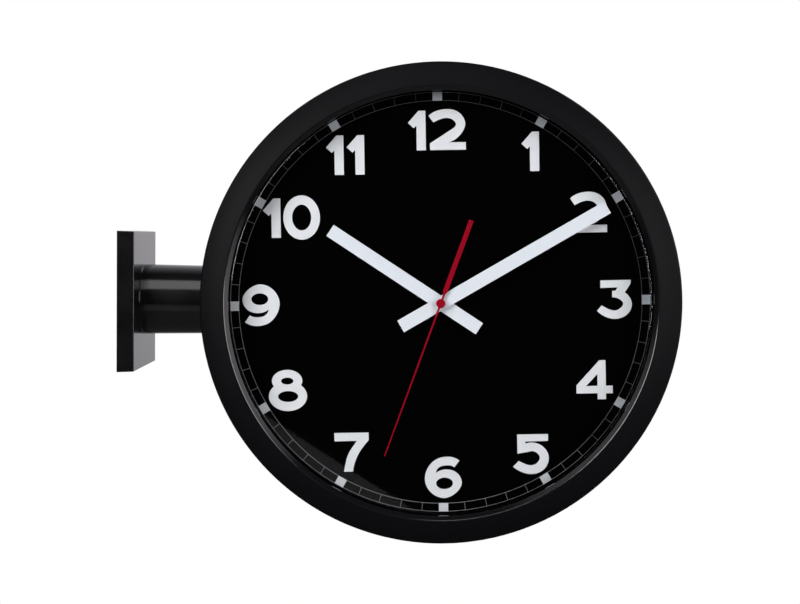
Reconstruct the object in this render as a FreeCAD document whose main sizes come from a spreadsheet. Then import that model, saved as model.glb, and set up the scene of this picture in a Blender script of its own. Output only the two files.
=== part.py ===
"""Double sided station clock on a wall arm.

Frame: +Z up, the front dial faces -Y, the wall is the plane X = 0, and the origin is the
centre of the wall plate's back. The two clocks sit back to back in one round case, whose
axis runs along Y at X = clock_reach.

Each clock is drawn in its own frame: x to the right and y up as its reader sees them, and
z outwards from the middle of the case, so a height z is a distance from that middle.
"""

import FreeCAD
import Part
import Sketcher
import math
import os
from types import SimpleNamespace
from FreeCAD import Placement, Rotation, Vector

doc = FreeCAD.newDocument("station_clock")

# ---------------------------------------------------------------- driving dimensions

SIZES = [
    # wall plate, bracket and arm
    ("clock_reach", 266.0, "wall to the clock's axis"),
    ("plate_size", 116.1, "wall plate, side of the square at the wall"),
    ("plate_depth", 14.0, "wall plate, depth"),
    ("plate_lean", 0.5, "wall plate, how far each side leans in"),
    ("plate_round", 0.7, "wall plate, rounding of its edges"),
    ("plate_wall", 3.0, "wall plate, side wall"),
    ("plate_face", 5.5, "wall plate, front wall"),
    ("arm_radius", 29.7, "arm, radius where it leaves the plate"),
    ("arm_draft", 0.88, "arm, draft in degrees"),
    ("arm_wall", 2.5, "arm, wall"),
    ("arm_end", 11.0, "arm, solid end at the case"),
    ("arm_fit", 0.15, "arm in the plate's hole, radial clearance"),
    ("flange_radius", 40.0, "arm flange, radius"),
    ("flange_thick", 3.0, "arm flange, thickness"),
    ("flange_pitch", 34.8, "arm flange screws, radius of their circle"),
    ("bracket_side", 5.05, "wall bracket in the plate, clearance at each side"),
    ("bracket_thick", 2.5, "wall bracket, sheet"),
    ("bracket_lip", 8.2, "wall bracket, lip depth from the wall"),
    ("bracket_gap", 0.3, "wall bracket in the plate, clearance"),
    ("lip_width", 40.0, "wall bracket, lip width"),
    ("lock_high", 5.0, "lock screws, distance from the wall"),
    ("slot_radius", 2.75, "wall slots, half width"),
    ("slot_length", 12.0, "wall slots, end to end"),
    ("slot_span_y", 60.0, "wall slots, spacing along Y"),
    ("slot_span_z", 76.0, "wall slots, spacing along Z"),
    ("small_screw", 2.0, "M4 screws, radius"),
    ("small_head", 3.8, "M4 screws, head radius"),
    ("small_length", 6.0, "M4 screws, length"),
    ("big_screw", 2.5, "M5 screws, radius"),
    ("big_head", 4.25, "M5 screws, head radius"),
    ("big_head_high", 4.0, "M5 screws, head height"),
    ("big_length", 16.0, "M5 screws, length"),
    ("big_pitch", 12.7, "M5 screws, offset from the arm's axis"),
    ("hex_key", 1.3, "screw sockets, corner radius"),
    ("hex_deep", 1.2, "screw sockets, depth"),
    ("screw_slack", 0.25, "screws in clear holes, radial clearance"),
    ("thread_gap", 0.03, "screws and nuts on their threads, radial clearance"),
    # case
    ("case_radius", 200.0, "case, outer radius over the bezel"),
    ("ridge_high", 52.0, "bezel ridge, distance from the middle of the case"),
    ("face_width", 20.5, "bezel face, width from its outer edge to its ridge"),
    ("rim_drop", 8.0, "bezel, fall from its ridge to its outer edge"),
    ("edge_round", 2.8, "bezel, rounding of its outer edge"),
    ("ridge_round", 1.4, "bezel, rounding of its ridge"),
    ("face_bulge", 70.0, "bezel face, radius of its crown"),
    ("lip_slope", 3.6, "bezel lip, width from the ridge to the opening"),
    ("lip_drop", 3.8, "bezel lip, fall from the ridge"),
    ("lip_edge", 1.9, "bezel lip, its upright edge"),
    ("skirt_low", 32.0, "bezel skirt, its end, from the middle of the case"),
    ("bezel_wall", 1.5, "bezel, wall"),
    ("hook_width", 8.0, "bezel hooks, width"),
    ("hook_thick", 1.3, "bezel hooks, thickness"),
    ("hook_grip", 1.8, "bezel hooks, reach under the spacer"),
    ("hook_count", 8, "bezel hooks, number"),
    ("hook_gap", 0.3, "bezel hooks, clearance to the spacer and the case band"),
    ("band_gap", 0.4, "case band in the bezel skirt, radial clearance"),
    ("band_wall", 1.5, "case band, wall"),
    ("band_seat", 0.05, "arm and clamp plate on the case band, clearance"),
    ("clamp_size", 60.0, "clamp plate, side"),
    ("clamp_thick", 6.0, "clamp plate, thickness at its middle"),
    ("clip_thick", 0.8, "case clips, spring strip"),
    ("clip_width", 12.0, "case clips, width"),
    ("clip_gap", 0.3, "case clips, clearance to the spacer"),
    ("clip_count", 3, "case clips on each side, number"),
    ("clip_low", 8.0, "case clips, foot, from the middle of the case"),
    ("clip_nose", 25.0, "case clips, nose, from the middle of the case"),
    # glazing and dial
    ("seal_thick", 1.0, "lens seal, thickness"),
    ("lens_lap", 7.1, "lens, how far it reaches behind the bezel lip"),
    ("lens_gap", 0.6, "lens in the bezel, radial clearance"),
    ("dome_clear", 0.7, "lens, its dome inside the bezel lip, clearance"),
    ("dome_rise", 8.0, "lens, rise of its dome"),
    ("lens_thick", 2.5, "lens, thickness"),
    ("spacer_clear", 2.5, "spacer, how far its wall stands outside the lens"),
    ("spacer_wall", 1.5, "spacer, wall"),
    ("ledge_width", 7.5, "spacer, width of its ledge, wall included"),
    ("dial_high", 22.0, "dial face, distance from the middle of the case"),
    ("dial_thick", 1.0, "dial, thickness"),
    ("dial_edge", 0.3, "dial, how far it stays inside the spacer"),
    ("dial_hole", 0.1, "dial on the bush, radial clearance"),
    ("dial_turn", 1.5, "dial, how far it sits turned, in degrees"),
    ("print_thick", 0.12, "dial print, thickness"),
    ("track_clear", 1.5, "minute track, its outer circle inside the ledge"),
    ("track_width", 6.9, "minute track, width between its circles"),
    ("track_line", 0.3, "minute track, line width"),
    ("block_width", 7.9, "hour blocks, width along the track"),
    ("numeral_high", 33.4, "numerals, height on a track of radius 169.6"),
    # movement
    ("washer_thick", 0.8, "bush washer, thickness"),
    ("washer_radius", 9.0, "bush washer, radius"),
    ("move_depth", 17.0, "movement, depth"),
    ("move_wall", 1.5, "movement, wall"),
    ("bush_radius", 4.0, "threaded bush, radius"),
    ("bush_long", 7.3, "threaded bush, length from the movement"),
    ("nut_radius", 7.5, "bush nut, corner radius"),
    ("nut_thick", 2.5, "bush nut, thickness"),
    ("run_gap", 0.05, "arbors and pipes, radial running clearance"),
    ("press_gap", 0.02, "hands and knob on their arbors, radial clearance"),
    ("hour_pipe", 2.5, "hour pipe, radius"),
    ("minute_pipe", 1.6, "minute pipe, radius"),
    ("second_pin", 0.5, "second arbor, radius"),
    ("arbor", 0.6, "train arbors, radius"),
    ("knob_arbor", 1.0, "setting arbor, radius"),
    ("pivot_deep", 0.8, "arbors in the movement walls, depth"),
    ("motion_module", 0.4, "motion work, module of its gears"),
    ("minute_module", 0.25, "minute and third wheels, module of their gears"),
    ("second_module", 0.27, "second wheel, module of its gears"),
    ("step_module", 0.25, "step wheel, module of its gears"),
    ("wheel_thick", 0.9, "wheels, thickness"),
    ("pinion_thick", 1.2, "pinions, thickness"),
    ("wheel_gap", 0.5, "between the levels of the train, clearance"),
    ("knob_radius", 6.0, "setting knob, radius"),
    ("knob_thick", 2.0, "setting knob, thickness"),
    ("magnet_radius", 3.0, "rotor magnet, radius"),
    ("magnet_long", 2.6, "rotor magnet, length"),
    ("air_gap", 0.4, "rotor in the stator, radial clearance"),
    ("stator_thick", 1.0, "stator, thickness"),
    ("stator_width", 3.0, "stator, width of its limbs"),
    ("stator_span", 19.0, "stator, length"),
    ("coil_radius", 3.4, "coil, radius"),
    ("coil_long", 12.0, "coil, length"),
    ("battery_radius", 7.1, "AA battery, radius"),
    ("battery_long", 49.5, "AA battery, length of its can"),
    ("battery_pip", 1.0, "AA battery, height of its pip"),
    ("bay_wall", 1.0, "battery bay, wall"),
    ("bay_gap", 0.3, "battery bay, clearance"),
    ("bay_drop", 10.4, "battery bay, its upper wall below the dial's axis"),
    ("leaf_room", 3.4, "battery bay, room for its spring contact"),
    ("contact_thick", 0.5, "battery contacts, strip"),
    # hands
    ("hand_thick", 0.8, "hands, thickness"),
    ("bar_width", 11.1, "hour and minute hands, width"),
    ("hand_step", 3.2, "hands, rise from one to the next"),
    ("hour_lift", 6.8, "hour hand above the dial"),
    ("hour_tip", 110.7, "hour hand, length"),
    ("hour_tail", 38.9, "hour hand, tail"),
    ("hour_angle", 302.84, "hour hand at rest, clockwise from twelve, degrees"),
    ("minute_tip", 160.3, "minute hand, length"),
    ("minute_tail", 38.6, "minute hand, tail"),
    ("minute_angle", 59.44, "minute hand at rest, degrees"),
    ("collar_radius", 4.5, "hand collars, radius"),
    ("second_tip", 136.1, "second hand, length"),
    ("second_tail", 73.8, "second hand, tail"),
    ("second_angle", 199.59, "second hand at rest, degrees"),
    ("second_blade", 1.4, "second hand, width near its hub"),
    ("second_point", 0.9, "second hand, width at its tip"),
    ("second_weight", 3.9, "second hand, width of its tail"),
    ("second_neck", 1.8, "second hand, width of its necks"),
    ("neck_reach", 8.2, "second hand, where its necks end"),
    ("cap_radius", 3.8, "second hand, radius of its cap"),
    ("cap_high", 2.2, "second hand, height of its cap"),
]


class Size:
    """A number, together with the sheet expression that it comes from."""

    def __init__(self, number, text):
        self.number = number
        self.text = text

    def __add__(self, other):
        other = lift(other)
        return Size(self.number + other.number, f"({self.text} + {other.text})")

    def __sub__(self, other):
        other = lift(other)
        return Size(self.number - other.number, f"({self.text} - {other.text})")

    def __mul__(self, other):
        other = lift(other)
        return Size(self.number * other.number, f"({self.text} * {other.text})")

    def __truediv__(self, other):
        other = lift(other)
        return Size(self.number / other.number, f"({self.text} / {other.text})")

    def __rsub__(self, other):
        return lift(other) - self

    def __neg__(self):
        return 0 - self

    __radd__ = __add__
    __rmul__ = __mul__


def lift(value):
    """A plain number as a Size."""
    if isinstance(value, Size):
        return value
    return Size(float(value), f"({float(value):.9f})")


def sine(angle):
    angle = lift(angle)
    return Size(math.sin(math.radians(angle.number)), f"sin({angle.text})")


def cosine(angle):
    angle = lift(angle)
    return Size(math.cos(math.radians(angle.number)), f"cos({angle.text})")


def tangent(angle):
    angle = lift(angle)
    return Size(math.tan(math.radians(angle.number)), f"tan({angle.text})")


sheet = doc.addObject("Spreadsheet::Sheet", "Sizes")
mm = SimpleNamespace()
for row, (alias, number, note) in enumerate(SIZES, start=1):
    sheet.set(f"A{row}", note)
    sheet.set(f"B{row}", str(number))
    sheet.setAlias(f"B{row}", alias)
    setattr(mm, alias, Size(float(number), f"Sizes.{alias}"))
doc.recompute()

# ---------------------------------------------------------------- drawing helpers

AXES = {
    "z": Rotation(),
    "-z": Rotation(Vector(1, 0, 0), 180),
    "x": Rotation(Vector(0, 1, 0), 90),
    "y": Rotation(Vector(1, 0, 0), -90),
}
nodes = []


def bind(item, sizes):
    """Ties an object's properties to the sheet."""
    for name, value in sizes.items():
        item.setExpression(name, lift(value).text)


def put(item, at, axis="z"):
    """Places an object, with its own z along an axis."""
    item.Placement = Placement(Vector(), AXES[axis])
    bind(item, {f"Placement.Base.{name}": value for name, value in zip("xyz", at)})
    return item


def rod(radius, length, at=(0, 0, 0), axis="z"):
    item = doc.addObject("Part::Cylinder", "rod")
    bind(item, {"Radius": radius, "Height": length})
    return put(item, at, axis)


def cone(radius, end_radius, length, at=(0, 0, 0), axis="z"):
    item = doc.addObject("Part::Cone", "cone")
    bind(item, {"Radius1": radius, "Radius2": end_radius, "Height": length})
    return put(item, at, axis)


def block(size, low):
    """A box, from its lowest corner."""
    item = doc.addObject("Part::Box", "block")
    bind(item, dict(zip(("Length", "Width", "Height"), size)))
    return put(item, low)


def hexagon(radius, length, at=(0, 0, 0), axis="z"):
    item = doc.addObject("Part::Prism", "hexagon")
    item.Polygon = 6
    bind(item, {"Circumradius": radius, "Height": length})
    return put(item, at, axis)


def solid(shape, name):
    """A feature whose shape is made directly."""
    item = doc.addObject("Part::Feature", name)
    item.Shape = shape
    return item


def group(*pieces):
    """Several solids together, or a copy of one that can be placed again."""
    item = doc.addObject("Part::Compound", "group")
    item.Links = list(pieces)
    return item


def fuse(*pieces):
    item = doc.addObject("Part::MultiFuse", "fuse")
    item.Shapes = list(pieces)
    return item


def cut(base, *tools):
    item = doc.addObject("Part::Cut", "cut")
    item.Base = base
    item.Tool = tools[0] if len(tools) == 1 else group(*tools)
    return item


def common(base, tool):
    item = doc.addObject("Part::Common", "common")
    item.Base = base
    item.Tool = tool
    return item


def spun(item, angle):
    """A copy of an object, turned about the z axis."""
    copy = group(item)
    copy.Placement = Placement(Vector(), Rotation(Vector(0, 0, 1), angle))
    return copy


def placed(item, at, axis):
    """A copy of an object, put somewhere else."""
    return put(group(item), at, axis)


def arc_between(start, end, bend):
    """An arc from start to end, of radius bend: it turns left, or right if bend is negative."""
    chord = end - start
    radius = abs(bend)
    left = Vector(-chord.y, chord.x, 0).normalize()
    rise = math.sqrt(radius**2 - (chord.Length / 2) ** 2)
    centre = start + chord / 2 + left * math.copysign(rise, bend)
    first, last = (start, end) if bend > 0 else (end, start)
    angles = [math.atan2(p.y - centre.y, p.x - centre.x) for p in (first, last)]
    return Part.ArcOfCircle(Part.Circle(centre, Vector(0, 0, 1), radius), *angles)


def outline(body, plane, corners):
    """A closed sketch through corners (x, y), or (x, y, bend) where an arc leaves one."""
    sketch = body.newObject("Sketcher::SketchObject", "outline")
    base = [item for item in body.Origin.OriginFeatures if item.Role == plane][0]
    sketch.AttachmentSupport = [(base, "")]
    sketch.MapMode = "FlatFace"
    corners = [[lift(value) for value in corner] for corner in corners]
    points = [Vector(corner[0].number, corner[1].number, 0) for corner in corners]
    starts = []
    for i, corner in enumerate(corners):
        here, after = points[i], points[(i + 1) % len(points)]
        bend = corner[2].number if len(corner) == 3 else 0
        edge = arc_between(here, after, bend) if bend else Part.LineSegment(here, after)
        sketch.addGeometry(edge, False)
        starts.append(2 if bend < 0 else 1)
    for i, corner in enumerate(corners):
        before = i - 1 if i else len(corners) - 1
        rule = Sketcher.Constraint("Coincident", before, 3 - starts[before], i, starts[i])
        sketch.addConstraint(rule)
        for kind, axis, value in (("DistanceX", -2, corner[0]), ("DistanceY", -1, corner[1])):
            if abs(value.number) < 1e-9:
                rule = Sketcher.Constraint("PointOnObject", i, starts[i], axis)
                sketch.addConstraint(rule)
                continue
            rule = Sketcher.Constraint(kind, -1, 1, i, starts[i], value.number)
            sketch.setExpression(f"Constraints[{sketch.addConstraint(rule)}]", value.text)
        if len(corner) == 3:
            radius = corner[2] if corner[2].number > 0 else -corner[2]
            rule = Sketcher.Constraint("Radius", i, radius.number)
            sketch.setExpression(f"Constraints[{sketch.addConstraint(rule)}]", radius.text)
    return sketch


def turned(corners):
    """A body turned about its z axis, from corners given as (radius, height)."""
    body = doc.addObject("PartDesign::Body", "turned")
    sketch = outline(body, "XZ_Plane", corners)
    spin = body.newObject("PartDesign::Revolution", "revolution")
    spin.Profile = sketch
    spin.ReferenceAxis = (sketch, ["V_Axis"])
    spin.Angle = 360
    body.Tip = spin
    return body


def flat(corners, height, thickness):
    """A flat body with an outline, from a height upwards."""
    body = doc.addObject("PartDesign::Body", "flat")
    sketch = outline(body, "XY_Plane", corners)
    bind(sketch, {"AttachmentOffset.Base.z": height})
    pad = body.newObject("PartDesign::Pad", "pad")
    pad.Profile = sketch
    bind(pad, {"Length": thickness})
    body.Tip = pad
    return body


def rounded(body, radius, height, rounding):
    """Rounds a turned body's edge, found by its radius and height."""
    doc.recompute()
    edges = []
    for number, edge in enumerate(body.Tip.Shape.Edges, start=1):
        if isinstance(edge.Curve, Part.Circle):
            off = abs(edge.Curve.Radius - radius.number)
            if off + abs(edge.Curve.Center.z - height.number) < 0.001:
                edges.append(f"Edge{number}")
    tip = body.Tip
    fillet = body.newObject("PartDesign::Fillet", "rounding")
    fillet.Base = (tip, edges)
    bind(fillet, {"Radius": rounding})
    body.Tip = fillet


def strip(points, thickness, width):
    """A bent strip along points (x, z), centred on them and on y = 0."""
    path = Part.makePolygon([Vector(x.number, 0, z.number) for x, z in points])
    half = thickness.number / 2
    loop = path.makeOffset2D(half, join=0, fill=False, openResult=False, intersection=False)
    shape = Part.Face(loop).extrude(Vector(0, width.number, 0))
    shape.translate(Vector(0, -width.number / 2, 0))
    return solid(shape, "strip")


def finish(item, label):
    """Names a finished sub-part."""
    item.Label = label
    nodes.append(item)


# Where each clock sits: its own x, y and z in the part's frame.
SEATS = {
    "front": Rotation(Vector(1, 0, 0), 90),
    "rear": Rotation(Vector(0, 0, 1), 180) * Rotation(Vector(1, 0, 0), 90),
}


def seated(item, seat, turn=0.0):
    """A copy of an object in one clock, turned clockwise by so many degrees on its dial."""
    copy = group(item)
    rotation = seat * Rotation(Vector(0, 0, 1), -lift(turn).number)
    copy.Placement = Placement(Vector(mm.clock_reach.number, 0, 0), rotation)
    bind(copy, {"Placement.Base.x": mm.clock_reach})
    return copy


def finish_pair(item, name, turn=0.0):
    """A sub-part that both clocks have."""
    for side, seat in SEATS.items():
        finish(seated(item, seat, turn), f"{side}_{name}")


# ---------------------------------------------------------------- levels and radii

# distances from the wall
plate_inside = mm.plate_depth - mm.plate_face
flange_back = plate_inside - mm.flange_thick
band_radius = mm.case_radius - mm.bezel_wall - mm.band_gap
band_inside = band_radius - mm.band_wall
case_left = mm.clock_reach - band_radius
clamp_flat = case_left + mm.band_wall + mm.clamp_thick

# bezel and glazing, distances from the middle of the case
rim_high = mm.ridge_high - mm.rim_drop
lens_seat = mm.ridge_high - mm.lip_drop - mm.lip_edge
lens_front = lens_seat - mm.seal_thick
lens_back = lens_front - mm.lens_thick
spacer_low = lens_back - mm.spacer_wall
hook_low = spacer_low - mm.hook_thick
band_high = hook_low - mm.hook_gap
skirt_inside = mm.case_radius - mm.bezel_wall
hook_inside = skirt_inside - mm.hook_thick
spacer_flange = hook_inside - mm.hook_gap

# radii, from the case inwards
ridge_radius = mm.case_radius - mm.face_width
lip_radius = ridge_radius - mm.lip_slope
lens_radius = lip_radius + mm.lens_lap
dome_radius = lip_radius - mm.dome_clear
spacer_radius = lens_radius + mm.spacer_clear
spacer_ledge = spacer_radius - mm.ledge_width
track_outer = spacer_ledge - mm.track_clear
track_inner = track_outer - mm.track_width

# dial and movement
dial_back = mm.dial_high - mm.dial_thick
move_front = dial_back - mm.washer_thick
move_back = move_front - mm.move_depth
front_wall = move_front - mm.move_wall
back_wall = move_back + mm.move_wall
arbor_front = front_wall + mm.pivot_deep
arbor_back = back_wall - mm.pivot_deep
bush_top = move_front + mm.bush_long
bay_high = 2 * (mm.battery_radius + mm.bay_gap)
bay_width = mm.leaf_room + mm.battery_long + mm.battery_pip + mm.contact_thick
move_width = bay_width + 2 * (mm.move_wall + mm.bay_wall + mm.bay_gap)
half_height = mm.bay_drop + bay_high + 2 * mm.bay_wall + mm.bay_gap + mm.move_wall
move_height = 2 * half_height

# hands
hour_high = mm.dial_high + mm.hour_lift
minute_high = hour_high + mm.hand_step
second_high = minute_high + mm.hand_step

# ---------------------------------------------------------------- fixings

# An M4 screw: the top of its head at z = 0, its shank towards +z.
small_sink = mm.small_head - mm.small_screw
small_screw = cut(
    fuse(
        cone(mm.small_head, mm.small_screw, small_sink),
        rod(mm.small_screw, mm.small_length),
    ),
    hexagon(mm.hex_key, mm.hex_deep),
)

# The hole for that screw in the piece that its head holds.
small_hole = group(
    rod(mm.small_head + mm.screw_slack, 2, (0, 0, -2)),
    cone(mm.small_head + mm.screw_slack, mm.small_screw + mm.screw_slack, small_sink),
    rod(mm.small_screw + mm.screw_slack, mm.small_length),
)

lock_slope = mm.plate_lean / mm.plate_depth
lock_top = mm.plate_size / 2 - lock_slope * (mm.lock_high + mm.small_head)
FLANGE_SCREWS = [
    ((flange_back, mm.flange_pitch * cosine(angle), mm.flange_pitch * sine(angle)), "x")
    for angle in (45, 135, 225, 315)
]
LOCK_SCREWS = [
    ((mm.lock_high, 0, lock_top), "-z"),
    ((mm.lock_high, 0, -lock_top), "z"),
]
small_screws = [placed(small_screw, at, axis) for at, axis in FLANGE_SCREWS + LOCK_SCREWS]
finish(group(*small_screws), "plate_screws")

# An M5 screw: the end of its shank at z = 0, its head at the top.
big_top = mm.big_length + mm.big_head_high
big_screw = cut(
    fuse(
        rod(mm.big_screw, mm.big_length),
        rod(mm.big_head, mm.big_head_high, (0, 0, mm.big_length)),
    ),
    hexagon(1.6 * mm.hex_key, 2 * mm.hex_deep, (0, 0, big_top - 2 * mm.hex_deep)),
)
screw_end = clamp_flat - mm.big_length
ARM_SCREWS = [
    (y, z)
    for y in (-mm.big_pitch, mm.big_pitch)
    for z in (-mm.big_pitch, mm.big_pitch)
]
finish(group(*[placed(big_screw, (screw_end, y, z), "x") for y, z in ARM_SCREWS]), "arm_screws")

# ---------------------------------------------------------------- wall bracket

inner = mm.plate_size - 2 * mm.plate_wall
bracket_high = inner - 2 * mm.bracket_gap
bracket_wide = inner - 2 * mm.bracket_side
pieces = [
    block(
        (mm.bracket_thick, bracket_wide, bracket_high),
        (0, -bracket_wide / 2, -bracket_high / 2),
    )
]
for low in (-bracket_high / 2, bracket_high / 2 - mm.bracket_thick):
    size = (mm.bracket_lip, mm.lip_width, mm.bracket_thick)
    pieces.append(block(size, (0, -mm.lip_width / 2, low)))
slots = []
slot_reach = mm.slot_length / 2 - mm.slot_radius
slot_deep = mm.bracket_thick + 2
for y in (-mm.slot_span_y / 2, mm.slot_span_y / 2):
    for z in (-mm.slot_span_z / 2, mm.slot_span_z / 2):
        size = (slot_deep, 2 * slot_reach, 2 * mm.slot_radius)
        slots.append(
            fuse(
                block(size, (-1, y - slot_reach, z - mm.slot_radius)),
                rod(mm.slot_radius, slot_deep, (-1, y - slot_reach, z), "x"),
                rod(mm.slot_radius, slot_deep, (-1, y + slot_reach, z), "x"),
            )
        )
lock_thread = rod(
    mm.small_screw + mm.thread_gap,
    bracket_high + 2,
    (mm.lock_high, 0, -bracket_high / 2 - 1),
)
finish(cut(fuse(*pieces), *slots, lock_thread), "wall_bracket")

# ---------------------------------------------------------------- wall plate

wedge = doc.addObject("Part::Wedge", "wedge")
foot_low, foot_high = -mm.plate_size / 2, mm.plate_size / 2
top_low, top_high = foot_low + mm.plate_lean, foot_high - mm.plate_lean
bind(wedge, {"Xmin": foot_low, "Zmin": foot_low, "Xmax": foot_high, "Zmax": foot_high})
bind(wedge, {"X2min": top_low, "Z2min": top_low, "X2max": top_high, "Z2max": top_high})
bind(wedge, {"Ymin": 0, "Ymax": mm.plate_depth})
doc.recompute()
front_edges = []
for number, edge in enumerate(wedge.Shape.Edges, start=1):
    if edge.BoundBox.YMax > mm.plate_depth.number / 2:
        front_edges.append((number, mm.plate_round.number, mm.plate_round.number))
softened = doc.addObject("Part::Fillet", "softened")
softened.Base = wedge
softened.Edges = front_edges
softened.Placement = Placement(Vector(), Rotation(Vector(0, 0, 1), -90))
finish(
    cut(
        softened,
        block((plate_inside + 1, inner, inner), (-1, -inner / 2, -inner / 2)),
        rod(mm.arm_radius + mm.arm_fit, mm.plate_depth, (plate_inside - 1, 0, 0), "x"),
        *[
            rod(mm.small_screw + mm.thread_gap, mm.small_length + 0.2, at, axis)
            for at, axis in FLANGE_SCREWS
        ],
        *[placed(small_hole, at, axis) for at, axis in LOCK_SCREWS],
    ),
    "wall_plate",
)

# ---------------------------------------------------------------- arm

arm_slope = tangent(mm.arm_draft)
arm_hollow = case_left - mm.arm_end
arm_top = case_left + 0.6 * mm.arm_radius * mm.arm_radius / band_radius
arm_tip = mm.arm_radius - arm_slope * (arm_top - mm.plate_depth)
tube = turned(
    [
        (mm.arm_radius - mm.arm_wall, flange_back),
        (mm.flange_radius, flange_back),
        (mm.flange_radius, plate_inside),
        (mm.arm_radius, plate_inside),
        (mm.arm_radius, mm.plate_depth),
        (arm_tip, arm_top),
        (0, arm_top),
        (0, arm_hollow),
        (arm_tip - mm.arm_wall, arm_hollow),
    ]
)
put(tube, (0, 0, 0), "x")
saddle = rod(
    band_radius + mm.band_seat,
    mm.case_radius,
    (mm.clock_reach, -mm.case_radius / 2, 0),
    "y",
)
finish(
    cut(
        tube,
        saddle,
        *[placed(small_hole, at, axis) for at, axis in FLANGE_SCREWS],
        *[
            rod(mm.big_screw + mm.thread_gap, mm.big_length, (screw_end - 0.4, y, z), "x")
            for y, z in ARM_SCREWS
        ],
    ),
    "arm_tube",
)

# ---------------------------------------------------------------- case band and its clamp

clamp_holes = [
    rod(
        mm.big_screw + mm.screw_slack,
        2 * (mm.band_wall + mm.clamp_thick),
        (case_left - mm.band_wall, y, z),
        "x",
    )
    for y, z in ARM_SCREWS
]
finish(
    cut(
        rod(band_radius, 2 * band_high, (mm.clock_reach, -band_high, 0), "y"),
        rod(band_inside, 3 * band_high, (mm.clock_reach, -1.5 * band_high, 0), "y"),
        *clamp_holes,
    ),
    "case_band",
)
clamp_curve = rod(
    band_inside - mm.band_seat,
    mm.case_radius,
    (mm.clock_reach, -mm.case_radius / 2, 0),
    "y",
)
clamp_block = block(
    (clamp_flat - case_left, mm.clamp_size, mm.clamp_size),
    (case_left, -mm.clamp_size / 2, -mm.clamp_size / 2),
)
finish(cut(common(clamp_block, clamp_curve), *clamp_holes), "clamp_plate")

# The clips are springs on the inside of the band, that each clock's spacer slips between.
clip_in = spacer_radius + mm.clip_gap + mm.clip_thick / 2
clip_sag = mm.clip_width * mm.clip_width / (8 * band_inside)
clip_out = band_inside - 2 * mm.band_seat - clip_sag - mm.clip_thick / 2
clip_lean = clip_out - clip_in
clip = strip(
    [
        (clip_out, mm.clip_low),
        (clip_out, mm.clip_nose + clip_lean),
        (clip_in, mm.clip_nose),
        (clip_in + clip_lean / 3, mm.clip_nose - clip_lean / 1.5),
    ],
    mm.clip_thick,
    mm.clip_width,
)
clip_step = 360 / mm.clip_count.number
clips = [
    seated(spun(clip, 90 + i * clip_step), seat)
    for seat in SEATS.values()
    for i in range(int(mm.clip_count.number))
]
finish(group(*clips), "unit_clips")

# ---------------------------------------------------------------- bezel and glazing

seat_radius = lens_radius + mm.lens_gap
bezel = turned(
    [
        (mm.case_radius, mm.skirt_low),
        (mm.case_radius, rim_high, mm.face_bulge),
        (ridge_radius, mm.ridge_high),
        (lip_radius, mm.ridge_high - mm.lip_drop),
        (lip_radius, lens_seat),
        (seat_radius, lens_seat),
        (seat_radius, mm.ridge_high - 2 * mm.bezel_wall, mm.bezel_wall - mm.face_bulge),
        (skirt_inside, rim_high - mm.bezel_wall),
        (skirt_inside, mm.skirt_low),
    ]
)
rounded(bezel, mm.case_radius, rim_high, mm.edge_round)
rounded(bezel, ridge_radius, mm.ridge_high, mm.ridge_round)
hook_top = rim_high - mm.bezel_wall / 2
hook_back = (mm.hook_thick + mm.bezel_wall / 4, mm.hook_width, hook_top - hook_low)
hook_lip = (mm.hook_grip, mm.hook_width, spacer_low - hook_low)
hook = fuse(
    block(hook_back, (hook_inside, -mm.hook_width / 2, hook_low)),
    block(hook_lip, (hook_inside - mm.hook_grip, -mm.hook_width / 2, hook_low)),
)
hook_step = 360 / mm.hook_count.number
hooks = [spun(hook, (i + 0.5) * hook_step) for i in range(int(mm.hook_count.number))]
finish_pair(fuse(bezel, *hooks), "bezel")

seal = turned(
    [
        (lip_radius + 1, lens_front),
        (lens_radius, lens_front),
        (lens_radius, lens_seat),
        (lip_radius + 1, lens_seat),
    ]
)
finish_pair(seal, "lens_seal")

dome_bend = (dome_radius * dome_radius + mm.dome_rise * mm.dome_rise) / (2 * mm.dome_rise)
lens = turned(
    [
        (0, lens_back + mm.dome_rise, -dome_bend),
        (dome_radius, lens_back),
        (lens_radius, lens_back),
        (lens_radius, lens_front),
        (dome_radius, lens_front, dome_bend),
        (0, lens_front + mm.dome_rise),
    ]
)
finish_pair(lens, "lens")

spacer_inside = spacer_radius - mm.spacer_wall
spacer = turned(
    [
        (spacer_ledge, spacer_low),
        (spacer_inside, spacer_low),
        (spacer_inside, mm.dial_high),
        (spacer_radius, mm.dial_high),
        (spacer_radius, spacer_low),
        (spacer_flange, spacer_low),
        (spacer_flange, lens_back),
        (spacer_ledge, lens_back),
    ]
)
finish_pair(spacer, "spacer_ring")

# ---------------------------------------------------------------- dial and its print

dial = cut(
    rod(spacer_radius - mm.dial_edge, mm.dial_thick, (0, 0, dial_back)),
    rod(mm.bush_radius + mm.dial_hole, 3 * mm.dial_thick, (0, 0, dial_back - mm.dial_thick)),
)
finish_pair(dial, "dial")


def printed(shape):
    """A film of print on the dial."""
    film = shape.extrude(Vector(0, 0, mm.print_thick.number))
    film.translate(Vector(0, 0, mm.dial_high.number))
    return solid(film, "print")


def spot(radius, turn, centre=(0.0, 0.0)):
    """The point at a radius and an angle in radians round a centre."""
    return Vector(
        centre[0] + radius * math.cos(turn), centre[1] + radius * math.sin(turn), 0
    )


def track_window(low, high, start, end):
    """One opening of the track, between two lines, each given by angle and half width."""
    turns = []
    for radius in (low, high):
        first = math.radians(start[0]) + math.asin(start[1] / radius)
        last = math.radians(end[0]) - math.asin(end[1] / radius)
        turns.append((first, last))
    (a, d), (b, c) = turns
    return Part.Wire(
        [
            Part.makeLine(spot(low, a), spot(high, b)),
            Part.Arc(spot(high, b), spot(high, (b + c) / 2), spot(high, c)).toShape(),
            Part.makeLine(spot(high, c), spot(low, d)),
            Part.Arc(spot(low, d), spot(low, (a + d) / 2), spot(low, a)).toShape(),
        ]
    )


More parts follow.
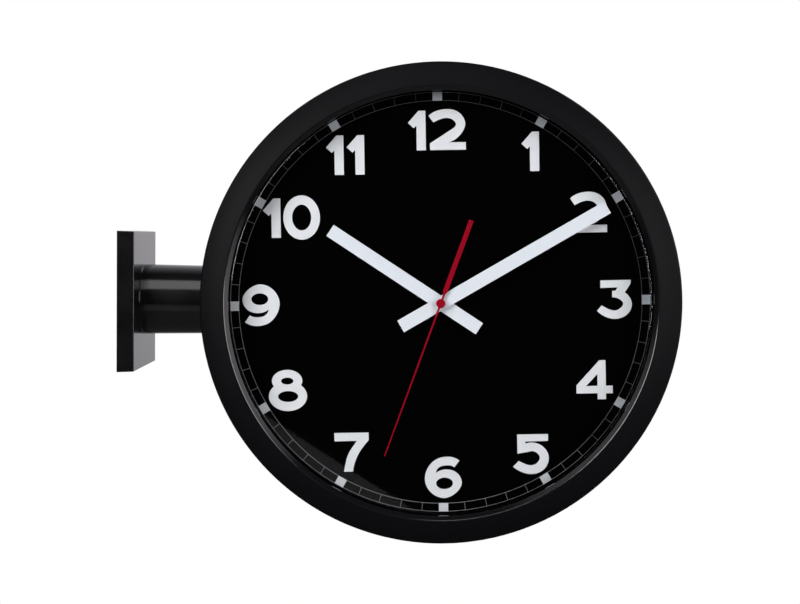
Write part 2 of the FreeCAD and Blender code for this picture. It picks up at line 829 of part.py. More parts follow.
line = mm.track_line.number
low = track_inner.number + line / 2
high = track_outer.number - line / 2
loops = [Part.Wire(Part.makeCircle(radius)) for radius in (high + line, low - line)]
for minute in range(60):
    first, last = [
        (6.0 * i, mm.block_width.number / 2 if i % 5 == 0 else line / 2)
        for i in (minute, minute + 1)
    ]
    loops.append(track_window(low, high, first, last))
track = Part.makeFace(loops, "Part::FaceMakerBullseye")
finish_pair(printed(track), "minute_track", -mm.dial_turn)

# The numerals, in mm from the foot of each, as drawn at a height of 33.4. A list inside an
# outline is a smooth curve, from the corner before it through the points that it holds.
ONE = [(0, 0), (0, 33), (-5.8, 33), (-14.8, 23), (-9.9, 18.5), (-7.7, 20.7), (-7.7, 0)]
TWO = [
    (0, 0),
    (29.9, 0),
    (29.9, 6.3),
    (15.5, 6.3),
    [(27.3, 15.1), (29.6, 21.5), (25.0, 30.7), (14.1, 34.1), (-1.0, 28.7)],
    (2.9, 23.1),
    [(8.05, 25.5), (13.7, 26.7), (19.3, 25.1), (21.8, 21.7), (20.1, 18.4)],
    (-0.2, 5.55),
]
THREE = [
    (3.06, 32.5),
    (28.6, 32.6),
    (28.4, 29.5),
    (23.6, 22.1),
    [(26.6, 19.3), (29.4, 12.6), (26.2, 4.4), (15.7, 0), (6.0, 2.4), (0, 7.0)],
    (4.0, 11.4),
    [(9.3, 8.5), (14.9, 7.0), (20.5, 9.7), (22.1, 12.5), (18.9, 16.5), (12.9, 18.0)],
    (12.9, 23.6),
    (15.7, 23.6),
    (17.5, 26.4),
    (3.06, 26.2),
]
FOUR = [
    (19.35, 33),
    (24.6, 33),
    (24.8, 11.4),
    (30.6, 11.4),
    (30.6, 4.9),
    (24.8, 4.9),
    (24.8, 0),
    (17.75, 0),
    (17.75, 5.1),
    (0, 5.1),
    (0, 12.0),
]
FOUR_HOLE = [(8.0, 11.3), (17.7, 21.4), (17.7, 11.4)]
FIVE = [
    (3.8, 33.7),
    (29.9, 33.7),
    (29.9, 27.9),
    (10.7, 27.6),
    (10.7, 25.9),
    [(17.4, 26.6), (25.7, 23.0), (30.4, 13.6), (25.7, 3.4), (14.5, 0), (6.2, 2.3), (0, 6.4)],
    (4.9, 11.2),
    [(10.1, 8.6), (15.2, 7.4), (20.7, 9.6), (22.7, 13.9), (20.3, 17.9), (14.9, 19.2)],
    (4.0, 17.4),
]
SIX = [
    (29.3, 31.75),
    [(18.0, 35.1), (7.9, 31.75), (1.4, 23.5), (0, 14.4), (3.7, 6.3), (15.9, 0)],
    [(26.3, 4.5), (31.05, 12.6), (27.4, 20.9), (18.7, 24.25), (9.2, 21.2)],
    [(13.1, 26.7), (18.0, 27.7), (22.9, 27.2), (25.1, 26.0)],
]
SEVEN = [
    (0, 33),
    (29.0, 33),
    (29.1, 26.5),
    [(25.1, 22.0), (20.9, 16.1), (17.8, 9.8), (16.2, 4.9), (15.4, 0)],
    (7.8, 0),
    [(8.9, 5.9), (10.5, 11.9), (12.9, 17.3), (16.4, 22.3), (18.9, 26.1)],
    (0.2, 25.9),
]

# Ovals, as (x, y, half width, half height).
SIX_HOLE = (16.5, 12.5, 7.1, 4.9)
EIGHT_TOP = (15.6, 25.6, 12.8, 9.3)
EIGHT_TOP_HOLE = (15.7, 25.4, 5.2, 2.9)
EIGHT_FOOT = (16.1, 12.5, 16.15, 12.5)
EIGHT_FOOT_HOLE = (16.2, 12.3, 8.5, 4.6)
NOUGHT = (15.4, 16.7, 15.4, 18.6)
NOUGHT_HOLE = (15.4, 16.7, 8.0, 10.8)


def drawn(loop):
    """The face inside an outline of lines and smooth curves."""
    edges = []
    first = last = Vector(*loop[0], 0)
    for step in loop[1:]:
        if isinstance(step, list):
            curve = Part.BSplineCurve()
            curve.interpolate([last] + [Vector(*point, 0) for point in step])
            edges.append(curve.toShape())
            last = Vector(*step[-1], 0)
        else:
            edges.append(Part.makeLine(last, Vector(*step, 0)))
            last = Vector(*step, 0)
    edges.append(Part.makeLine(last, first))
    return Part.Face(Part.Wire(edges))


def oval(x, y, half_width, half_height):
    wide, narrow = max(half_width, half_height), min(half_width, half_height)
    edge = Part.Ellipse(Vector(), wide, narrow).toShape()
    if half_height > half_width:
        edge.rotate(Vector(), Vector(0, 0, 1), 90)
    edge.translate(Vector(x, y, 0))
    return Part.Face(Part.Wire(edge))


def side_by_side(*figures):
    """Two figures of one numeral, each given with its distance from the first."""
    moved = []
    for face, distance in figures:
        face = face.copy()
        face.translate(Vector(distance, 0, 0))
        moved.append(face)
    return Part.Compound(moved)


one = drawn(ONE)
two = drawn(TWO)
six = drawn(SIX).cut(oval(*SIX_HOLE))
nine = six.copy()
nine.rotate(Vector(), Vector(0, 0, 1), 180)
eight = oval(*EIGHT_TOP).fuse(oval(*EIGHT_FOOT)).removeSplitter()
eight = eight.cut([oval(*EIGHT_TOP_HOLE), oval(*EIGHT_FOOT_HOLE)])
nought = oval(*NOUGHT).cut(oval(*NOUGHT_HOLE))

# Each numeral, with the middle of its outline on the dial, in mm.
NUMERALS = [
    (side_by_side((one, 0), (two, 3.6)), -0.8, 145.4),
    (one, 77.2, 125.8),
    (two, 125.4, 74.4),
    (drawn(THREE), 146.4, 0.4),
    (drawn(FOUR).cut(drawn(FOUR_HOLE)), 128.9, -67.0),
    (drawn(FIVE), 74.5, -129.2),
    (six, 0.1, -147.5),
    (drawn(SEVEN), -76.8, -125.0),
    (eight, -129.7, -71.8),
    (nine, -150.8, 0.4),
    (side_by_side((one, 0), (nought, 2.3)), -123.9, 73.6),
    (side_by_side((one, 0), (one, 17.4)), -77.9, 125.2),
]
figures = []
for shape, x, y in NUMERALS:
    figure = shape.copy()
    inward = track_inner.number / 169.6
    figure.scale(inward * mm.numeral_high.number / 33.4)
    middle = figure.BoundBox.Center
    figure.translate(Vector(x * inward - middle.x, y * inward - middle.y, 0))
    figures.extend(figure.Faces)
finish_pair(printed(Part.Compound(figures)), "numerals", -mm.dial_turn)

# ---------------------------------------------------------------- gear train, its layout

# Tooth counts of each wheel and of the pinion that it meshes with, and the module in mm.
PAIRS = {
    "motion": {"wheel": 36, "pinion": 12, "module": mm.motion_module.number},
    "minute": {"wheel": 64, "pinion": 8, "module": mm.minute_module.number},
    "step": {"wheel": 32, "pinion": 8, "module": mm.step_module.number},
    "second": {"wheel": 60, "pinion": 8, "module": mm.second_module.number},
    "hour": {"wheel": 40, "pinion": 10},
    "third": {"wheel": 60, "pinion": 8},
}


def reach_of(pair):
    """The distance between a pair's two arbors."""
    return pair["module"] * (pair["wheel"] + pair["pinion"]) / 2


# These two pairs stand on the arbors of another pair, which gives them their distance.
for name, partner in (("hour", "motion"), ("third", "minute")):
    pair = PAIRS[name]
    pair["module"] = 2 * reach_of(PAIRS[partner]) / (pair["wheel"] + pair["pinion"])

SETTING_ANGLE = 20.0
THIRD_ANGLE = 180.0
STEP_ANGLE = 95.0
ROTOR_ANGLE = 60.0
CENTRE = (0.0, 0.0)


def beside(centre, pair, angle):
    """Where the arbor stands that a pair of gears joins to one at a centre."""
    point = spot(reach_of(PAIRS[pair]), math.radians(angle), centre)
    return (point.x, point.y)


SETTING = beside(CENTRE, "motion", SETTING_ANGLE)
THIRD = beside(CENTRE, "minute", THIRD_ANGLE)
STEP = beside(CENTRE, "second", STEP_ANGLE)
ROTOR = beside(STEP, "step", ROTOR_ANGLE)

# Levels of the wheels, from the movement's front wall backwards. A pinion stands a little
# past its wheel on both sides.
past = (mm.pinion_thick - mm.wheel_thick) / 2
level_step = 2 * past + mm.wheel_gap + mm.wheel_thick
hour_level = front_wall - mm.wheel_gap - mm.wheel_thick
motion_level = hour_level - level_step
minute_level = motion_level - level_step
third_level = minute_level - level_step - mm.wheel_gap
second_level = third_level - level_step - mm.wheel_gap
step_level = second_level - level_step - mm.wheel_gap
magnet_low = third_level + (mm.wheel_thick - mm.magnet_long) / 2
stator_low = magnet_low + (mm.magnet_long - mm.stator_thick) / 2

PRESSURE = math.radians(20.0)
TOOTH_SLACK = 0.03


def involute(angle):
    return math.tan(angle) - angle


def gear_face(teeth, module, tip, foot, phase):
    """A gear's outline: involute flanks, and a tooth in the middle of the angle phase."""
    pitch = teeth * module / 2
    base = pitch * math.cos(PRESSURE)
    outer = pitch + tip * module
    inside = pitch - foot * module
    low = max(base, inside)
    half = math.pi / 2 / teeth - TOOTH_SLACK / 2 / pitch

    def flank(radius):
        """Half a tooth's angle at a radius."""
        return half + involute(PRESSURE) - involute(math.acos(min(1.0, base / radius)))

    step = 2 * math.pi / teeth
    edges = []
    for i in range(teeth):
        at = math.radians(phase) + i * step
        rise = [spot(r, at - flank(r)) for r in (low, (low + outer) / 2, outer)]
        fall = [spot(r, at + flank(r)) for r in (outer, (low + outer) / 2, low)]
        gap = [spot(inside, at + turn) for turn in (flank(low), step / 2, step - flank(low))]
        edges.append(Part.Arc(*rise).toShape())
        edges.append(Part.Arc(rise[2], spot(outer, at), fall[0]).toShape())
        edges.append(Part.Arc(*fall).toShape())
        if inside < base:
            edges.append(Part.makeLine(fall[2], gap[0]))
        edges.append(Part.Arc(*gap).toShape())
        if inside < base:
            edges.append(Part.makeLine(gap[2], spot(low, at + step - flank(low))))
    return Part.Face(Part.Wire(edges))


def gear(pair, kind, at, level, towards):
    """A wheel or pinion at its level, with its teeth set for the mesh that lies towards."""
    teeth = PAIRS[pair][kind]
    wheel = kind == "wheel"
    tip, foot = (0.48, 1.25) if wheel else (1.0, 0.75)
    phase = towards if wheel else towards + 180.0 / teeth
    face = gear_face(teeth, PAIRS[pair]["module"], tip, foot, phase)
    thick = mm.wheel_thick if wheel else mm.pinion_thick
    item = solid(face.extrude(Vector(0, 0, thick.number)), kind)
    return put(item, (*at, level if wheel else level - past))


def arbor_rod(at, radius=mm.arbor, low=arbor_back, high=arbor_front):
    return rod(radius, high - low, (*at, low))


# ---------------------------------------------------------------- movement case

half_width = move_width / 2
room_x = move_width - 2 * mm.move_wall
room_y = move_height - 2 * mm.move_wall
coil_y = half_height - mm.move_wall - mm.stator_width / 2 - mm.coil_radius
peg_y = (ROTOR[1] + coil_y) / 2
peg_reach = (mm.stator_span - mm.stator_width) / 2
stator_top = stator_low + mm.stator_thick
blind = mm.pivot_deep + 0.1
pivots = [(THIRD, mm.arbor), (STEP, mm.arbor), (ROTOR, mm.arbor), (SETTING, mm.knob_arbor)]
hollow_box = cut(
    block(
        (move_width, move_height, move_front - back_wall),
        (-half_width, -half_height, back_wall),
    ),
    block(
        (room_x, room_y, front_wall - back_wall + 1),
        (-room_x / 2, -room_y / 2, back_wall - 1),
    ),
)
pegs = [
    rod(mm.stator_width / 3, front_wall - stator_top, (x, peg_y, stator_top))
    for x in (ROTOR[0] - peg_reach, ROTOR[0] + peg_reach)
]
shell = cut(
    fuse(hollow_box, rod(mm.bush_radius, bush_top - front_wall, (0, 0, front_wall)), *pegs),
    rod(mm.hour_pipe + mm.run_gap, bush_top - front_wall + 2, (0, 0, front_wall - 1)),
    *[rod(radius + mm.run_gap, blind + 1, (*at, front_wall - 1)) for at, radius in pivots],
)
finish_pair(shell, "movement_shell")

# The cover closes the back. The battery lies in a tray that is moulded on it.
bay_low = mm.move_wall + mm.bay_gap + mm.bay_wall - half_height
bay_floor = front_wall - mm.bay_gap - mm.bay_wall
tray_size = (
    bay_width + 2 * mm.bay_wall,
    bay_high + 2 * mm.bay_wall,
    bay_floor + mm.bay_wall - move_back,
)
cover = cut(
    fuse(
        block(
            (move_width, move_height, mm.move_wall),
            (-half_width, -half_height, move_back),
        ),
        block(tray_size, (-bay_width / 2 - mm.bay_wall, bay_low - mm.bay_wall, move_back)),
    ),
    block(
        (bay_width, bay_high, bay_floor - move_back + 1),
        (-bay_width / 2, bay_low, move_back - 1),
    ),
    *[
        rod(mm.arbor + mm.run_gap, blind + 1, (*at, back_wall - blind))
        for at in (THIRD, STEP, ROTOR)
    ],
    rod(mm.second_pin + mm.run_gap, blind + 1, (0, 0, back_wall - blind)),
    rod(mm.knob_arbor + mm.run_gap, 3 * mm.move_wall, (*SETTING, move_back - mm.move_wall)),
)
finish_pair(cover, "movement_cover")

bush_gap = mm.bush_radius + mm.dial_hole
washer = cut(
    rod(mm.washer_radius, mm.washer_thick, (0, 0, move_front)),
    rod(bush_gap, 3 * mm.washer_thick, (0, 0, move_front - mm.washer_thick)),
)
finish_pair(washer, "bush_washer")
nut = cut(
    hexagon(mm.nut_radius, mm.nut_thick, (0, 0, mm.dial_high)),
    rod(mm.bush_radius + mm.thread_gap, 2 * mm.nut_thick, (0, 0, mm.dial_high - 1)),
)
finish_pair(nut, "bush_nut")

# ---------------------------------------------------------------- battery, contacts, board

battery_y = bay_low + bay_high / 2
battery_z = bay_floor - mm.bay_gap - mm.battery_radius
pip_end = bay_width / 2 - mm.contact_thick
can_end = pip_end - mm.battery_pip
can_start = can_end - mm.battery_long
pip = rod(
    mm.battery_radius * 0.38,
    mm.battery_pip + 1,
    (can_end - 1, battery_y, battery_z),
    "x",
)
can = rod(mm.battery_radius, mm.battery_long, (can_start, battery_y, battery_z), "x")
finish_pair(fuse(can, pip), "battery")

strip_wide = 1.4 * mm.battery_radius
plus = block(
    (mm.contact_thick, strip_wide, strip_wide),
    (pip_end, battery_y - strip_wide / 2, battery_z - strip_wide / 2),
)
leaf_foot = mm.contact_thick / 2 - bay_width / 2
leaf_tip = can_start - mm.contact_thick / 2 - mm.press_gap
leaf = strip(
    [
        (leaf_foot, battery_z - strip_wide / 2),
        (leaf_foot, battery_z + strip_wide / 2),
        (leaf_tip, battery_z),
        (leaf_tip - mm.contact_thick, battery_z - strip_wide / 4),
    ],
    mm.contact_thick,
    strip_wide / 2,
)
finish_pair(group(plus, put(leaf, (0, battery_y, 0))), "battery_contacts")

board_left = half_width - mm.move_wall - mm.bay_gap - 16
board_low = half_height - mm.move_wall - mm.bay_gap - 15
board = fuse(
    block((16, 15, 0.8), (board_left, board_low, back_wall)),
    rod(2.5, 1.8, (board_left + 5, board_low + 7, back_wall)),
    block((6.2, 2.2, 2.4), (board_left + 9, board_low + 11, back_wall)),
)
finish_pair(board, "circuit_board")

# ---------------------------------------------------------------- motor

limb = mm.stator_width / 2
stator_left = ROTOR[0] - mm.stator_span / 2
stator_right = stator_left + mm.stator_span - mm.stator_width
core_size = (mm.stator_span, mm.stator_width, mm.stator_thick)
side_size = (mm.stator_width, coil_y - ROTOR[1], mm.stator_thick)
stator = cut(
    fuse(
        block(core_size, (stator_left, ROTOR[1] - limb, stator_low)),
        block(core_size, (stator_left, coil_y - limb, stator_low)),
        block(side_size, (stator_left, ROTOR[1], stator_low)),
        block(side_size, (stator_right, ROTOR[1], stator_low)),
        rod(mm.magnet_radius + mm.air_gap + 0.7, mm.stator_thick, (*ROTOR, stator_low)),
    ),
    rod(mm.magnet_radius + mm.air_gap, 3 * mm.stator_thick, (*ROTOR, stator_low - 1)),
)
coil_place = (ROTOR[0] - mm.coil_long / 2, coil_y, stator_low + mm.stator_thick / 2)
coil = cut(
    rod(mm.coil_radius, mm.coil_long, coil_place, "x"),
    block(core_size, (stator_left, coil_y - limb, stator_low)),
)
finish_pair(group(stator, coil), "motor_stator")

# ---------------------------------------------------------------- rotor and wheels

rotor = fuse(
    arbor_rod(ROTOR),
    rod(mm.magnet_radius, mm.magnet_long, (*ROTOR, magnet_low)),
    gear("step", "pinion", ROTOR, step_level, ROTOR_ANGLE + 180),
)
finish_pair(rotor, "rotor")

step_wheel = fuse(
    arbor_rod(STEP),
    gear("step", "wheel", STEP, step_level, ROTOR_ANGLE),
    gear("second", "pinion", STEP, second_level, STEP_ANGLE + 180),
)
finish_pair(step_wheel, "step_wheel")

second_top = second_high + mm.cap_high / 2
second_wheel = fuse(
    arbor_rod(CENTRE, mm.second_pin, arbor_back, second_top),
    gear("second", "wheel", CENTRE, second_level, STEP_ANGLE),
    gear("third", "pinion", CENTRE, third_level, THIRD_ANGLE),
)
finish_pair(second_wheel, "second_wheel")

third_wheel = fuse(
    arbor_rod(THIRD),
    gear("third", "wheel", THIRD, third_level, THIRD_ANGLE + 180),
    gear("minute", "pinion", THIRD, minute_level, THIRD_ANGLE + 180),
)
finish_pair(third_wheel, "third_wheel")

minute_top = minute_high + 2 * mm.hand_thick
minute_wheel = cut(
    fuse(
        rod(mm.minute_pipe, minute_top - minute_level, (0, 0, minute_level)),
        gear("minute", "wheel", CENTRE, minute_level, THIRD_ANGLE),
        gear("motion", "pinion", CENTRE, motion_level, SETTING_ANGLE),
    ),
    rod(mm.second_pin + mm.run_gap, minute_top, (0, 0, minute_level - 1)),
)
finish_pair(minute_wheel, "minute_wheel")

knob_low = move_back - mm.bay_gap - mm.knob_thick
knob_floor = knob_low + mm.knob_thick / 4
setting_wheel = fuse(
    arbor_rod(SETTING, mm.knob_arbor, knob_floor, arbor_front),
    gear("motion", "wheel", SETTING, motion_level, SETTING_ANGLE + 180),
    gear("hour", "pinion", SETTING, hour_level, SETTING_ANGLE + 180),
)
finish_pair(setting_wheel, "setting_wheel")

# The knob has a scallop at each of sixteen places round its edge.
scallops = []
for i in range(16):
    x = SETTING[0] + mm.knob_radius * cosine(i * 22.5)
    y = SETTING[1] + mm.knob_radius * sine(i * 22.5)
    scallops.append(rod(mm.knob_radius / 12, mm.knob_thick + 2, (x, y, knob_low - 1)))
knob = cut(
    rod(mm.knob_radius, mm.knob_thick, (*SETTING, knob_low)),
    rod(mm.knob_arbor + mm.press_gap, mm.knob_thick, (*SETTING, knob_floor)),
    *scallops,
)
finish_pair(knob, "set_knob")

hour_top = hour_high + 1.5 * mm.hand_thick
hour_wheel = cut(
    fuse(
        rod(mm.hour_pipe, hour_top - hour_level, (0, 0, hour_level)),
        gear("hour", "wheel", CENTRE, hour_level, SETTING_ANGLE),
    ),
    rod(mm.minute_pipe + mm.run_gap, hour_top, (0, 0, hour_level - 1)),
)
finish_pair(hour_wheel, "hour_wheel")

# ---------------------------------------------------------------- hands


def bar_hand(tip, tail, height, pipe):
    """A straight hand pointing at twelve, with a collar behind it on its pipe."""
    bar = block((mm.bar_width, tip + tail, mm.hand_thick), (-mm.bar_width / 2, -tail, height))
    collar = rod(mm.collar_radius, mm.hand_thick, (0, 0, height - mm.hand_thick))
    bore = rod(pipe + mm.press_gap, 4 * mm.hand_thick, (0, 0, height - 2 * mm.hand_thick))
    return cut(fuse(bar, collar), bore)


hour_hand = bar_hand(mm.hour_tip, mm.hour_tail, hour_high, mm.hour_pipe)
finish_pair(hour_hand, "hour_hand", mm.hour_angle)
minute_hand = bar_hand(mm.minute_tip, mm.minute_tail, minute_high, mm.minute_pipe)
finish_pair(minute_hand, "minute_hand", mm.minute_angle)

neck = mm.second_neck / 2
swell = 1.3 * mm.neck_reach
blade = flat(
    [
        (neck, -mm.neck_reach),
        (neck, mm.neck_reach),
        (mm.second_blade / 2, swell),
        (mm.second_point / 2, mm.second_tip),
        (-mm.second_point / 2, mm.second_tip),
        (-mm.second_blade / 2, swell),
        (-neck, mm.neck_reach),
        (-neck, -mm.neck_reach),
        (-mm.second_weight / 2, -swell),
        (-mm.second_weight / 2, -mm.second_tail),
        (mm.second_weight / 2, -mm.second_tail),
        (mm.second_weight / 2, -swell),
    ],
    second_high,
    mm.hand_thick,
)
hub_low = second_high - mm.hand_thick
second_hand = cut(
    fuse(
        blade,
        rod(mm.cap_radius, mm.cap_high, (0, 0, second_high)),
        rod(mm.cap_radius / 2, mm.hand_thick, (0, 0, hub_low)),
    ),
    rod(
        mm.second_pin + mm.press_gap,
        second_top - hub_low + mm.run_gap + 1,
        (0, 0, hub_low - 1),
    ),
)
finish_pair(second_hand, "second_hand", mm.second_angle)

# ---------------------------------------------------------------- check and write

doc.recompute()
faults = []
for item in doc.Objects:
    if "Invalid" in item.State or "Error" in item.State:
        faults.append(f"{item.Name} ({item.Label}): {item.State}")
for item in nodes:
    if item.Shape.isNull() or not item.Shape.isValid() or not item.Shape.Solids:
        faults.append(f"{item.Label}: its shape is empty or not valid")
if faults:
    raise RuntimeError("\n".join(faults))

os.makedirs("parts", exist_ok=True)
for item in nodes:
    item.Shape.exportStep(f"parts/{item.Label}.step")
print(f"{len(nodes)} parts")
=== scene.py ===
"""A double sided station clock on its wall arm, photographed against white."""

import bpy
import math
from mathutils import Matrix, Vector


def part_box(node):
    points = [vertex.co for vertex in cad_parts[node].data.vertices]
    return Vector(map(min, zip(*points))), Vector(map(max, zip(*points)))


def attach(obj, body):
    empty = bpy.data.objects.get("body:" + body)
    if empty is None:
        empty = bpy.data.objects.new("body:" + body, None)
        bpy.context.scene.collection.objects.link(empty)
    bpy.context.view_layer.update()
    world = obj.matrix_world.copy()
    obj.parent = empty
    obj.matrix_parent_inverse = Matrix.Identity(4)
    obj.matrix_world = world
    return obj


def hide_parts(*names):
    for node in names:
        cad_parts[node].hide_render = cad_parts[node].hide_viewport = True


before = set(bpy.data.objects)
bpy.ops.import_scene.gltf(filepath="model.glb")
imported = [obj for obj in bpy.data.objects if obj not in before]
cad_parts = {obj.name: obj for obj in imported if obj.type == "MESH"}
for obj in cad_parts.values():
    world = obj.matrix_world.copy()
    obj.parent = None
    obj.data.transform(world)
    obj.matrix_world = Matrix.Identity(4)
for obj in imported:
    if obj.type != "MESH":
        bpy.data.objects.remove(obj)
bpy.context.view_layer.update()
scene = bpy.context.scene

# ---------------------------------------------------------------- the photographer's camera
# A full frame camera with a short telephoto lens stands 1.37 m in front of the clock, a
# hand's breadth above its middle and a little to the left. It looks slightly down.
camera_data = bpy.data.cameras.new("camera")
camera_data.sensor_width = 36
camera_data.lens = 36 * 1608 / 800
camera = bpy.data.objects.new("camera", camera_data)
camera.location = (0.2333, -1.3734, 0.0584)
aim = Matrix.Rotation(math.radians(0.055), 4, "Z")
tilt = Matrix.Rotation(math.radians(90 - 2.457), 4, "X")
roll = Matrix.Rotation(math.radians(0.563), 4, "Z")
camera.rotation_euler = (aim @ tilt @ roll).to_euler()
scene.collection.objects.link(camera)
scene.camera = camera
scene.view_settings.view_transform = "Standard"


# ---------------------------------------------------------------- the white studio
# The clock hangs between a white cloth behind it, two pale side walls and dark curtains
# round the camera. The world stands for them all, so nothing is built.
class Signal:
    """One output of a node. Arithmetic on it adds Math nodes to the same tree."""

    def __init__(self, tree, socket=None):
        self.tree, self.socket = tree, socket

    def node(self, kind, settings=None, *inputs, **named):
        """Adds a node: its settings first, then its sockets, in order or by name."""
        made = self.tree.nodes.new("ShaderNode" + kind)
        for name, value in (settings or {}).items():
            if name != "stops":
                setattr(made, name, value)
                continue
            ramp = made.color_ramp.elements
            while len(ramp) < len(value):
                ramp.new(1)
            for stop, (position, colour) in zip(ramp, value):
                stop.position, stop.color = position, (*colour, 1)
        self.feed(made, dict(enumerate(inputs)) | named)
        return Signal(self.tree, [s for s in made.outputs if s.enabled][0])

    def feed(self, made, values):
        """Sets or links sockets, by number or by name with _ for a space."""
        usable = [s for s in made.inputs if s.enabled]
        for key, value in values.items():
            if isinstance(key, str):
                socket = [s for s in usable if s.name == key.replace("_", " ")][0]
            else:
                socket = usable[key]
            if isinstance(value, Signal):
                self.tree.links.new(value.socket, socket)
            elif socket.type == "RGBA":
                socket.default_value = (*value, 1)
            else:
                socket.default_value = value

    def out(self, name):
        """Another output of the same node."""
        return Signal(self.tree, self.socket.node.outputs[name])

    def sum(self, operation, *values):
        return self.node("Math", {"operation": operation}, *values)

    def __add__(self, other):
        return self.sum("ADD", self, other)

    def __sub__(self, other):
        return self.sum("SUBTRACT", self, other)

    def __rsub__(self, other):
        return self.sum("SUBTRACT", other, self)

    def __mul__(self, other):
        return self.sum("MULTIPLY", self, other)

    def __gt__(self, other):
        return self.sum("GREATER_THAN", self, other)

    def __lt__(self, other):
        return self.sum("LESS_THAN", self, other)

    __radd__ = __add__
    __rmul__ = __mul__

    def slope(self, low, high):
        """0 below low, 1 above high, and a straight slope in between."""
        return self.node("MapRange", {"clamp": True}, self, low, high, 0.0, 1.0)

    def mix(self, first, second):
        """A colour between two, by this value."""
        return self.node("Mix", {"data_type": "RGBA"}, self, first, second)


studio = bpy.data.worlds.new("studio")
studio.use_nodes = True
scene.world = studio
sky = Signal(studio.node_tree)
backdrop = studio.node_tree.nodes["Background"]
gaze = sky.node("TexCoord").out("Generated")
way = sky.node("SeparateXYZ", None, gaze)
cloth = way.out("Y").slope(0.1, 0.75) * (0.72 + 0.28 * way.out("Z").slope(-0.11, 0.03))
ceiling = way.out("Z").slope(0.3, 0.9)


def wall_toward(direction, low, high):
    """1 where the world lies close to a direction, falling off round it."""
    return way.node("VectorMath", {"operation": "DOT_PRODUCT"}, gaze, direction).out("Value").slope(low, high)


right_wall = wall_toward((0.98, 0.0, 0.17), 0.8, 0.97)
left_wall = wall_toward((-0.8, 0.0, 0.6), 0.82, 0.97)
room = 0.006 + cloth * 0.76 + ceiling * 0.03 + right_wall * 1.7 + left_wall * 0.75
seen = sky.node("LightPath").out("Is Camera Ray")
sky.feed(backdrop, {"Color": seen.mix((0.98, 0.95, 1.0), (1.0, 1.0, 1.0))})
sky.feed(backdrop, {"Strength": seen + (1 - seen) * room})


# ---------------------------------------------------------------- the lamps
# Soft boxes on stands: a large one high on the left, one on the right, and one behind for
# the other dial. A dim one lies low on the left and only shows in the glass.
def soft_box(name, place, target, width, height, power, spin=0.0):
    data = bpy.data.lights.new(name, "AREA")
    data.shape, data.size, data.size_y, data.energy = "RECTANGLE", width, height, power
    lamp = bpy.data.objects.new(name, data)
    lamp.location = place
    facing = (Vector(target) - Vector(place)).to_track_quat("-Z", "Y")
    lamp.rotation_euler = (facing.to_matrix() @ Matrix.Rotation(math.radians(spin), 3, "Z")).to_euler()
    scene.collection.objects.link(lamp)
    return lamp


AXIS_X = 0.266
CLOCK = (AXIS_X, 0, 0)
soft_box("key_box", (-0.86, -1.44, 0.52), CLOCK, 0.9, 1.0, 27)
soft_box("fill_box", (1.48, -1.44, 0.3), CLOCK, 0.9, 1.0, 20)
soft_box("top_box", (0.068, -1.1, 1.34), CLOCK, 0.8, 0.95, 6.0)
soft_box("glass_box", (-0.152, -1.4, -0.72), (-0.152, 0, -0.72), 0.9, 0.5, 0.33, -32.3)
soft_box("rear_box", (1.4, 1.2, 0.7), CLOCK, 0.9, 1.1, 12)


# ---------------------------------------------------------------- the studio floor
# A pale painted board far under the clock, which hangs as high as a sign does. It only
# fades into the cloth at its edge.
def new_finish(name):
    """A material, its Principled shader, and a Signal to build on."""
    material = bpy.data.materials.new(name)
    material.use_nodes = True
    return material, material.node_tree.nodes["Principled BSDF"], Signal(material.node_tree)


def mesh_piece(name, corners, faces, smooth=True):
    mesh = bpy.data.meshes.new(name)
    mesh.from_pydata([tuple(corner) for corner in corners], [], faces)
    if smooth:
        mesh.shade_smooth()
    piece = bpy.data.objects.new(name, mesh)
    scene.collection.objects.link(piece)
    return piece


FLOOR_RADIUS, FLOOR_DROP = 3.2, -1.3
rim = [math.radians(angle) for angle in range(0, 360, 5)]
board = mesh_piece(
    "studio_floor",
    [(AXIS_X + FLOOR_RADIUS * math.cos(angle), FLOOR_RADIUS * math.sin(angle), FLOOR_DROP) for angle in rim],
    [list(range(len(rim)))],
    smooth=False,
)
pale_paint, shader, start = new_finish("pale_paint")
place = start.node("TexCoord").out("Object")
streaks = start.node("TexNoise", None, place, Scale=9.0, Detail=4.0)
seen = start.node("LightPath").out("Is Camera Ray")
paint = streaks.mix((0.86, 0.86, 0.86), (0.9, 0.9, 0.9))
start.feed(shader, {"Base_Color": seen.mix((0.12, 0.12, 0.12), paint)})
start.feed(shader, {"Roughness": 0.7, "Specular_IOR_Level": 0.1})
glow = start.node("Emission", None, (1, 1, 1), seen * 0.45)
lit = start.node("AddShader", None, Signal(start.tree, shader.outputs[0]), glow)
away = start.node("VectorMath", {"operation": "LENGTH"}, place).out("Value").slope(2.2, 3.15)
shown = start.node("MixShader", None, away, lit, start.node("BsdfTransparent"))
start.feed(start.tree.nodes["Material Output"], {"Surface": shown})
board.data.materials.append(pale_paint)


# ---------------------------------------------------------------- wall bracket
# A pressed steel bracket, zinc plated, with two lips and four slots. Four screws through
# the slots hold it to the wall, and the wall plate hangs on its lips.
def dress(material, *names):
    """Gives a material to solids of the frame."""
    for name in names:
        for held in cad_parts[name].material_slots:
            held.link = "OBJECT"
            held.material = material


def bumped(start, shader, height, depth, strength=1.0):
    """Relief on a shader: a height signal, and how deep it is in metres."""
    relief = start.node("Bump", None, Height=height, Distance=depth, Strength=strength)
    start.feed(shader, {"Normal": relief})


